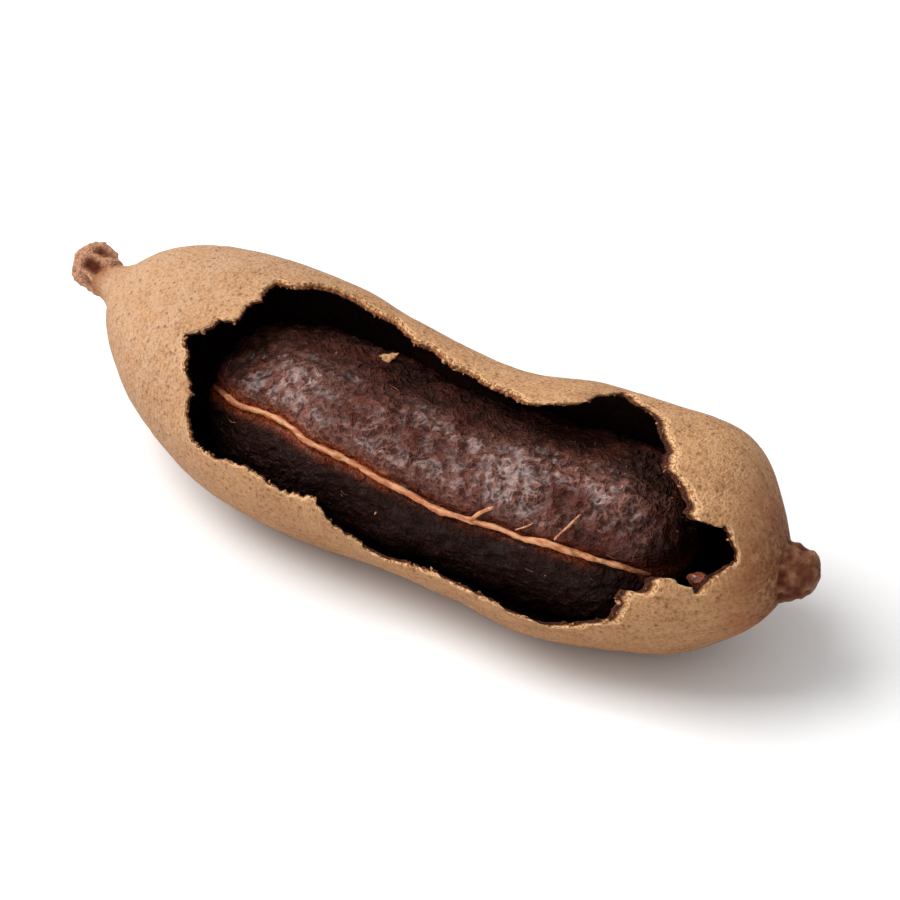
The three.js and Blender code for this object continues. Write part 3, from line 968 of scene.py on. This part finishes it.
def swept_strand(name, mesh, material, spacing, sides):
    """Each line of the mesh becomes a strand as wide as is stored along it, rough all round."""
    g = Growth(name, Spacing=spacing * MM, Roughness=0.09 * MM, Sides=sides)
    curve = g.add("GeometryNodeMeshToCurve", {}, {"Mesh": g.given["Geometry"]})["Curve"]
    inputs = {"Curve": curve, "Length": g.given["Spacing"]}
    curve = g.add("GeometryNodeResampleCurve", {"mode": "LENGTH"}, inputs)["Curve"]
    ring = g.add("GeometryNodeCurvePrimitiveCircle", {}, {"Resolution": g.given["Sides"], "Radius": 1.0})
    inputs = {"Curve": curve, "Profile Curve": ring["Curve"], "Fill Caps": True}
    inputs["Scale"] = g.named("half_width")
    swept = g.add("GeometryNodeCurveToMesh", {}, inputs)["Mesh"]
    bumps = g.add("ShaderNodeTexNoise", {}, {"Scale": 1 / (0.7 * MM), "Detail": 2.0})["Fac"]
    normal = g.add("GeometryNodeInputNormal")["Normal"]
    push = (bumps - 0.5) * 2.0 * g.given["Roughness"]
    settings = {"operation": "SCALE"}
    offset = g.add("ShaderNodeVectorMath", settings, {"Vector": normal, "Scale": push})["Vector"]
    inputs = {"Geometry": swept, "Offset": offset}
    moved = g.add("GeometryNodeSetPosition", {}, inputs)["Geometry"]
    smooth = g.add("GeometryNodeSetShadeSmooth", {}, {"Geometry": moved})["Geometry"]
    return g.grow(name, mesh, smooth, material)


main_lines = strand_routes(
    "main_strand_lines",
    [(STRAND_ROUTE, -0.10, 0.30, 60), (FORK_ROUTE, lambda t: 0.15 + 0.35 * t, 0.20, 70)],
)
strand_material = strand_finish("pod_strand", STRAND_PALE, STRAND_ORANGE)
main_strand = swept_strand("pulp_strand", main_lines, strand_material, 0.16, 14)
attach(main_strand, "root")
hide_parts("main_strand")

# Two finer fibres stand off the pulp beside the main one. One bows up between its rooted ends,
# and the shorter one rises to a free end.
fine_lines = strand_routes(
    "fine_strand_lines",
    [
        (FIBRE_ROUTE, lambda t: 0.85 * unit(np.sin(np.pi * t)) ** 0.5, 0.13, 90),
        (SHORT_FIBRE_ROUTE, lambda t: 0.55 * t**0.5, 0.08, 94),
    ],
)
fine_strand = swept_strand("pulp_fibres", fine_lines, strand_material, 0.12, 10)
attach(fine_strand, "root")
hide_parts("fine_strand")

# Hairs of the same fibre were pulled up from the pulp where the shell came away. Most of them
# stand near the main strand.
hair_mesh = pulp.data.copy()
by_strand = np.exp(-((np.abs(off_strand_mm - 0.8) / 2.2) ** 2)) * np.clip((grid_s + 20) / 30, 0.1, 1)
hairy = open_side * (0.15 + by_strand) * unit(0.2 + rough(smooth, 4, 49, 2))
store(hair_mesh, "hairy", hairy)
hairs = scattered(
    "pulp_hairs", hair_mesh, "hairy", per_mm2=0.55, smallest=0.6, largest=2.0, seed=14,
    material=strand_finish("pod_hair", srgb(130, 88, 66), srgb(84, 46, 32)),
    stem=True,
)
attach(hairs, "root")
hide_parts("fine_strand")

# ---- stubs ----
# At one end the pod is left with the knobbly, cracked stub of its stalk, and at the other with
# the withered, ridged base of the flower's style. Both are hard dark wood.
STALK_STUB = [
    (-56.0, 0.8), (-55.7, 1.6), (-55.0, 2.25), (-54.0, 2.5), (-53.0, 2.35), (-52.0, 1.95),
    (-51.2, 1.75), (-50.6, 1.7),
]
TIP_STUB = [
    (39.9, 3.2), (40.6, 3.45), (41.4, 3.2), (42.3, 3.0), (43.2, 2.75), (44.0, 2.2), (44.5, 1.4),
    (44.7, 0.7),
]
WOOD_PALE = srgb(190, 142, 112)
WOOD_BROWN = srgb(106, 64, 40)
WOOD_DARK = srgb(78, 28, 13)


def stub_finish(name):
    f = Finish(name)
    hollow = f.attribute("hollow")
    raised = f.attribute("raised")
    grain = f.grain(0.6, 4)
    fine = f.grain(0.25, 3)
    colour = f.blend(grain.ramp(0.40, 0.62) * 0.35, WOOD_BROWN, WOOD_DARK)
    colour = f.blend(raised * (0.35 + 0.6 * fine.ramp(0.35, 0.6)), colour, WOOD_PALE)
    colour = f.blend(hollow, colour, WOOD_DARK)
    return f.surface({
        "Base Color": colour,
        "Roughness": 0.6 + 0.2 * fine,
        "Specular IOR Level": 0.15,
        "Normal": f.bumps(grain * 0.3 + fine * 0.12),
    })


def stub(name, profile, columns, relief, paleness, material):
    """A turned form round the pod's middle line, given relief as a function of its points."""
    _, s, radius = stations(profile, 0.12)
    faces, _ = grid_faces(len(s), columns)
    s, radius, angle = on_grid(s, radius, columns)
    height = relief(s, angle, radius)
    middle = around_pod(s, angle, 0.0)
    out = around_pod(s, angle, 1.0) - middle
    points = middle + out * (radius + height * unit(radius / 1.5))[:, None]
    end = unit(radius / 1.2)
    along = around_pod(s + 0.01, angle, 0.0) - middle
    along /= np.linalg.norm(along, axis=1)[:, None]
    outwards = np.sign(s.mean())
    points += along * (outwards * (1 - end) * height * (np.abs(s) > abs(s.mean())))[:, None]
    attributes = {"hollow": unit(-height * 3.2), "raised": unit(height * 3.0) * paleness}
    return make_piece(name, points, faces, material, attributes)


def knobbly(s, angle, radius):
    place = around_pod(s, angle, radius) + (0.4, 0.2, 0.3)
    bent = place + 0.5 * np.stack([speckle(place, 1.5, 103 + k) for k in range(3)], axis=1)
    cells = np.array([noise.voronoi(Vector(p) / 2.5)[0][:2] for p in bent])
    rims = unit(1 - (cells[:, 1] - cells[:, 0]) / 0.55)
    return 0.85 * (rims - 0.42) + 0.16 * speckle(place, 1.1, 101) + 0.10 * speckle(place, 0.45, 102)


def ridged(s, angle, radius):
    place = around_pod(s, angle, radius)
    turned = np.radians(angle) + 0.25 * speckle(place, 1.6, 111)
    ribs = np.sin(8 * turned + 0.5 * s) + 0.5 * np.sin(15 * turned + 1.3)
    rings = speckle(np.stack([s * 1.4, 0 * s, 0 * s], axis=1), 1.0, 112)
    base = unit((43 - s) / 2)
    lumps = 0.28 * speckle(place, 1.2, 113) + 0.16 * speckle(place, 0.55, 114)
    return 0.14 * ribs * base + 0.10 * rings + lumps - 0.04


stub_material = stub_finish("pod_stub")
stalk_stub = stub("stalk_end", STALK_STUB, 96, knobbly, 1.0, stub_material)
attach(stalk_stub, "root")
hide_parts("stalk_stub")

tip_stub = stub("tip_nub", TIP_STUB, 110, ridged, 0.55, stub_material)
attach(tip_stub, "root")
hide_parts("tip_stub")

# ---- loose bits ----
# Breaking the shell leaves a curled flake of it on the pulp, and picking at the pulp leaves a
# sticky crumb on the broken edge near the tip.
CRUMB_S, CRUMB_ANGLE, CRUMB_RADIUS, CRUMB_LIFT = 34.4, 11.0, 9.7, 0.05
CRUMB_HALF_SIZE = np.array([1.45, 0.85, 0.95])
FLAKE_S, FLAKE_ANGLE, FLAKE_LIFT = -9.2, 113.0, 0.45
FLAKE_HALF_LENGTH, FLAKE_HALF_WIDTH, FLAKE_THICKNESS = 0.95, 0.55, 0.26
FLAKE_TURN, FLAKE_TILT = 35.0, 24.0
FLAKE_ROWS, FLAKE_COLUMNS = 12, 40


def rounded(name, centre, size, seed, knobs, material, attributes):
    """A small closed lump about a point, a little knobbly."""
    rows, columns = 40, 60
    faces, _ = grid_faces(rows, columns)
    polar = np.r_[0.0, np.repeat(np.linspace(0, math.pi, rows)[1:-1], columns), math.pi]
    turn = np.r_[0.0, np.tile(np.arange(columns) * math.tau / columns, rows - 2), 0.0]
    way = np.stack([np.cos(polar), np.sin(polar) * np.cos(turn), np.sin(polar) * np.sin(turn)], axis=1)
    radius = 1 + knobs * speckle(way, 0.7, seed) + 0.5 * knobs * speckle(way, 0.33, seed + 1)
    values = {label: np.full(len(way), value) for label, value in attributes.items()}
    return make_piece(name, centre + way * size * radius[:, None], faces, material, values)


crumb = rounded(
    "loose_crumb",
    around_pod(CRUMB_S, CRUMB_ANGLE, CRUMB_RADIUS) + (0.0, 0.0, CRUMB_LIFT),
    CRUMB_HALF_SIZE,
    seed=121,
    knobs=0.10,
    material=pulp_finish("pod_crumb", gloss=1.0, haze=0.08),
    attributes={"hollow": 0.45, "under_strand": 0.35, "below_strand": 0.0, "moist_and_painted_sheen": 0.8},
)
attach(crumb, "root")
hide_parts("pulp_crumb")

# The flake is a small curled sheet: an oval grid with a ragged outline, closed round its edge
outwards = np.linspace(0, 1, FLAKE_ROWS)[:, None]
bearing = np.arange(FLAKE_COLUMNS) * math.tau / FLAKE_COLUMNS
ragged = 1 + 0.16 * np.sin(3 * bearing + 0.6) + 0.10 * np.sin(7 * bearing)
flat_x = FLAKE_HALF_LENGTH * outwards * (np.cos(bearing) * ragged)[None, :]
flat_y = FLAKE_HALF_WIDTH * outwards * (np.sin(bearing) * ragged)[None, :]
bend = 0.22 * flat_x**2 - 0.25 * flat_y**2 + 0.06 * np.sin(5 * flat_x)
thick = FLAKE_THICKNESS * np.sqrt(unit(1.02 - outwards**6)) + 0 * flat_x
upper = np.stack([flat_x, flat_y, bend + thick / 2], axis=-1)[1:].reshape(-1, 3)
lower = np.stack([flat_x, flat_y, bend - thick / 2], axis=-1)[1:][::-1].reshape(-1, 3)
pole = np.array([[0, 0, FLAKE_THICKNESS / 2]])
flake_faces, _ = grid_faces(2 * (FLAKE_ROWS - 1) + 2, FLAKE_COLUMNS)


def turned(first, second, degrees):
    """Two coordinates turned by an angle in their own plane."""
    a = math.radians(degrees)
    return first * math.cos(a) - second * math.sin(a), first * math.sin(a) + second * math.cos(a)


x, y, z = np.vstack([pole, upper, lower, -pole]).T
x, y = turned(x, y, FLAKE_TURN)
y, z = turned(y, z, FLAKE_TILT)
flake_points = np.stack([x, y, z], axis=1)
flake_radius = pulp_top(np.array([FLAKE_S]), np.array([FLAKE_ANGLE])) + FLAKE_LIFT
flake_centre = around_pod(FLAKE_S, FLAKE_ANGLE, flake_radius, PULP_DROP)
flake_count = len(flake_points)
flake = make_piece(
    "loose_flake",
    flake_points + flake_centre,
    flake_faces,
    shell.data.materials[0],
    {
        "depth": np.zeros(flake_count),
        "near_break": np.full(flake_count, 0.3),
        "ends": np.zeros(flake_count),
        "tipwards": np.zeros(flake_count),
        "lie": flake_points,
    },
)
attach(flake, "root")
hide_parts("shell_flake")

# ---- stage ----
# A plain pale table in a softly lit studio: a large soft light high up on the camera's left, a
# wide dim one low in front, and pale surroundings.
VIEW_SIDEWAYS = 3.02
TARGET = Vector((0.0, VIEW_SIDEWAYS * MM, MIDDLE_HEIGHT * MM)) + Vector(set_down)
VIEW_AZIMUTH, VIEW_HEIGHT = math.radians(38), math.radians(35)
VIEW_DISTANCE = 0.5
VIEW_WIDTH = 0.0961

floor_mesh = bpy.data.meshes.new("table")
reach = 3.0
corners = [(-reach, -reach, 0), (reach, -reach, 0), (reach, reach, 0), (-reach, reach, 0)]
floor_mesh.from_pydata(corners, [], [(0, 1, 2, 3)])
floor = add_object("table", floor_mesh)
f = Finish("table")
white = f.blend(f.grain(30.0, 2), (0.86, 0.86, 0.86), (0.88, 0.88, 0.88))
floor_mesh.materials.append(f.surface({"Base Color": white, "Roughness": 0.7, "Specular IOR Level": 0.2}))

world = bpy.data.worlds.new("studio")
bpy.context.scene.world = world
world.use_nodes = True
background = world.node_tree.nodes["Background"]
background.inputs["Color"].default_value = (1.0, 1.0, 1.0, 1.0)
background.inputs["Strength"].default_value = 0.60


def soft_light(name, place, size, watts):
    lamp = bpy.data.lights.new(name, "AREA")
    lamp.shape = "RECTANGLE"
    lamp.size, lamp.size_y = size
    lamp.energy = watts
    holder = add_object(name, lamp)
    holder.location = place
    holder.rotation_euler = (TARGET - Vector(place)).to_track_quat("-Z", "Y").to_euler()


soft_light("key", place=(-0.50, -0.28, 0.82), size=(0.75, 0.75), watts=11.3)
soft_light("fill", place=(-0.1, -1.0, 0.55), size=(0.9, 0.9), watts=1.5)

lens = bpy.data.cameras.new("camera")
lens.sensor_width = 36.0
lens.lens = lens.sensor_width * VIEW_DISTANCE / VIEW_WIDTH
lens.clip_start = 0.01
camera = add_object("camera", lens)
level = math.cos(VIEW_HEIGHT)
back = Vector((math.sin(VIEW_AZIMUTH) * level, -math.cos(VIEW_AZIMUTH) * level, math.sin(VIEW_HEIGHT)))
camera.location = TARGET + back * VIEW_DISTANCE
camera.rotation_euler = back.to_track_quat("Z", "Y").to_euler()
bpy.context.scene.camera = camera
bpy.context.scene.view_settings.view_transform = "Standard"
